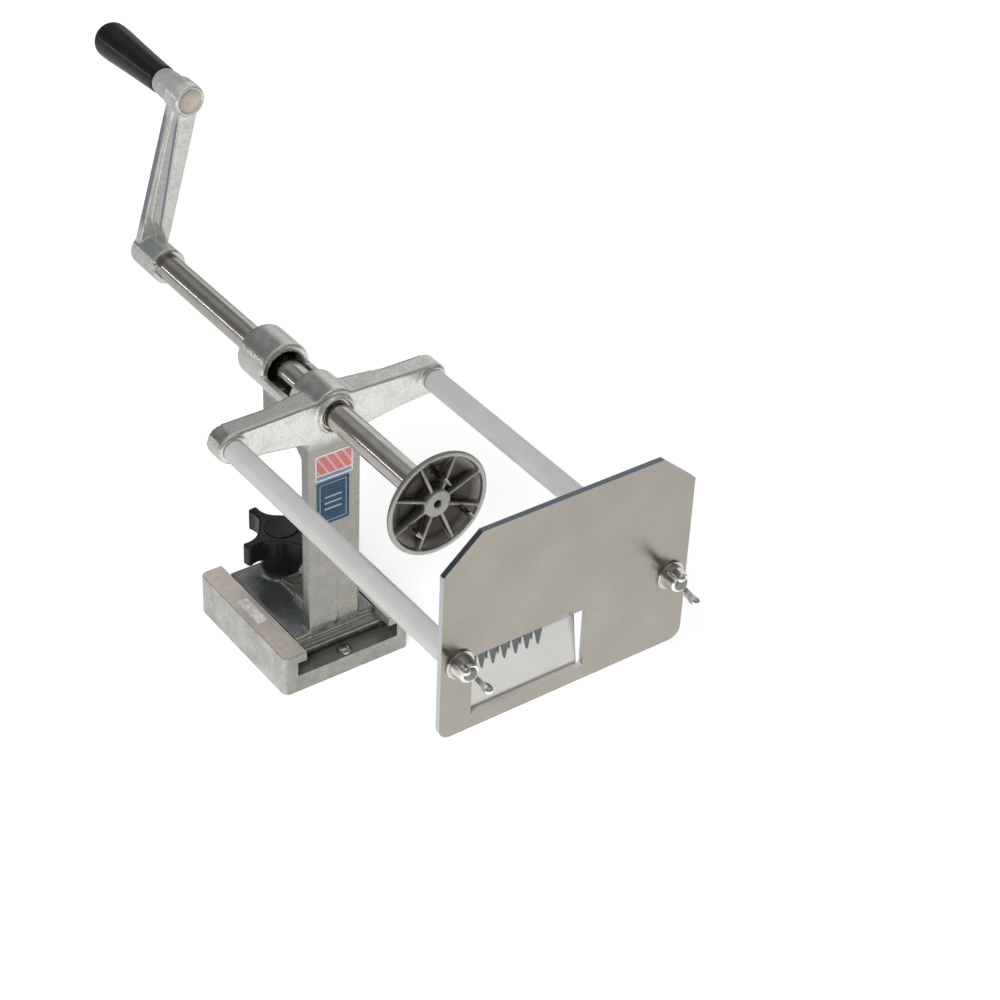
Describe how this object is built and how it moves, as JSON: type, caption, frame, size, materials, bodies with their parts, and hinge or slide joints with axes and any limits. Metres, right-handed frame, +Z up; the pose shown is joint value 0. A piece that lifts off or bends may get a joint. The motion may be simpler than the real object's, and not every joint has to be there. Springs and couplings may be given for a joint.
{
  "type": "spiral potato cutter",
  "caption": "Table-top spiral potato cutter: a cranked sliding shaft turns a ribbed chuck towards a bladed plate on guide rods, all on a T-slot base.",
  "frame": {"origin": "centre of the base's flat underside", "axes": "+X to the right seen from the cutting plate, +Y from the cutting plate back to the crank, +Z up"},
  "size_m": [0.1778, 0.6162, 0.3363],
  "materials": {
    "base_metal": "satin",
    "casting": "satin",
    "rod_satin": "satin",
    "plate_steel": "satin",
    "blade_steel": "satin",
    "bright_steel": "polished",
    "dark_screw": "satin",
    "crank_metal": "satin",
    "chuck_metal": "satin",
    "bushing_metal": "satin",
    "bushing_plastic": "matte",
    "black_plastic": "satin",
    "label_red": "satin",
    "label_blue": "satin"
  },
  "bodies": {
    "base": {"base_casting": "base_metal", "base_stop_screw": "bright_steel"},
    "frame": {"body_casting": "casting", "front_bushing": "bushing_metal", "rear_bushing": "bushing_plastic", "left_guide_rod": "rod_satin", "right_guide_rod": "rod_satin", "left_rod_screw": "bright_steel", "right_rod_screw": "bright_steel", "front_plate": "plate_steel", "slicing_blade": "blade_steel", "comb_blade": "blade_steel", "blade_screw_1": "bright_steel", "blade_screw_2": "bright_steel", "blade_screw_3": "bright_steel", "comb_screw_1": "bright_steel", "comb_screw_2": "bright_steel", "upper_label": "label_red", "lower_label": "label_blue"},
    "feed_ring": {"shaft_washer": "bright_steel"},
    "shaft": {"drive_shaft": "bright_steel", "crank_arm": "crank_metal", "crank_set_screw": "dark_screw", "handle_bolt": "bright_steel", "handle_ferrule": "crank_metal", "drive_chuck": "chuck_metal", "chuck_screw": "dark_screw", "chuck_prong_1": "bright_steel", "chuck_prong_2": "bright_steel", "chuck_prong_3": "bright_steel"},
    "grip": {"handle_grip": "black_plastic", "grip_cap": "black_plastic"},
    "clamp_pad": {"pressure_pad": "bright_steel"},
    "clamp_knob": {"clamp_screw": "bright_steel", "clamp_knob": "black_plastic", "knob_cap": "black_plastic"},
    "left_ring": {"left_washer": "bright_steel"},
    "left_nut": {"left_wing_nut": "bright_steel"},
    "right_ring": {"right_washer": "bright_steel"},
    "right_nut": {"right_wing_nut": "bright_steel"}
  },
  "joints": [
    {"name": "frame_slide", "type": "slide", "parent": "base", "child": "frame", "axis": [0, 1, 0], "range_m": [0, 0.045]},
    {"name": "feed_slide", "type": "slide", "parent": "frame", "child": "feed_ring", "axis": [0, -1, 0], "range_m": [-0.092, 0.108]},
    {"name": "crank_turn", "type": "hinge", "parent": "feed_ring", "child": "shaft", "pos_m": [0, 0.18, 0.205], "axis": [0, 1, 0], "continuous": true},
    {"name": "grip_spin", "type": "hinge", "parent": "shaft", "child": "grip", "pos_m": [0.0266, 0.25, 0.32304], "axis": [0, 1, 0], "continuous": true},
    {"name": "clamp_lift", "type": "slide", "parent": "frame", "child": "clamp_pad", "axis": [0, 0, 1], "range_m": [0, 0.00249]},
    {"name": "clamp_turn", "type": "hinge", "parent": "clamp_pad", "child": "clamp_knob", "pos_m": [0, 0.03, 0.05], "axis": [0, 0, 1], "range_deg": [0, 720]},
    {"name": "left_nut_travel", "type": "slide", "parent": "frame", "child": "left_ring", "axis": [0, -1, 0], "range_m": [0, 0.0028]},
    {"name": "left_nut_turn", "type": "hinge", "parent": "left_ring", "child": "left_nut", "pos_m": [-0.0762, -0.297, 0.205], "axis": [0, -1, 0], "range_deg": [0, 720]},
    {"name": "right_nut_travel", "type": "slide", "parent": "frame", "child": "right_ring", "axis": [0, -1, 0], "range_m": [0, 0.0028]},
    {"name": "right_nut_turn", "type": "hinge", "parent": "right_ring", "child": "right_nut", "pos_m": [0.0762, -0.297, 0.205], "axis": [0, -1, 0], "range_deg": [0, 720]}
  ],
  "couplings": [
    {"joint": "clamp_turn", "follows": "clamp_lift", "rad_per_m": 5026.5},
    {"joint": "left_nut_turn", "follows": "left_nut_travel", "rad_per_m": 4452.7},
    {"joint": "right_nut_turn", "follows": "right_nut_travel", "rad_per_m": 4452.7}
  ]
}
